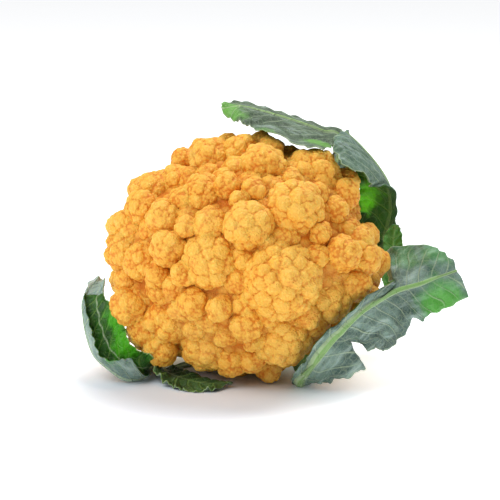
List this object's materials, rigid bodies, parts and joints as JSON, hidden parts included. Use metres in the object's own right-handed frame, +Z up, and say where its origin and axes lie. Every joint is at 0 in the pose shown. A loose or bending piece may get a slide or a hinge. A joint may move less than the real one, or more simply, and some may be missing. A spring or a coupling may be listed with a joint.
{
  "type": "orange cauliflower",
  "caption": "Whole orange cauliflower lying tilted back on its cut stem, with a domed curd of crowded florets and curling green wrapper leaves.",
  "frame": {"origin": "on the floor plane, under the middle of the object's box", "axes": "+Z up from the floor, the curd faces -Y and a little up and to -X, the cut stem points back to +Y"},
  "size_m": [0.2252, 0.1664, 0.153],
  "materials": {
    "curd": "matt granular vegetable curd, orange, darker orange in the creases",
    "stem": "smooth firm vegetable stem, cream green, paler on the cut",
    "leaf": "waxy leaf, green inside, blue-grey green outside, pale green midrib and veins"
  },
  "bodies": {
    "root": {"curd": "curd", "stem": "stem", "leaf_right": "leaf", "leaf_top": "leaf", "leaf_upper_right": "leaf", "leaf_small": "leaf", "leaf_left": "leaf", "leaf_bottom": "leaf"}
  },
  "joints": []
}
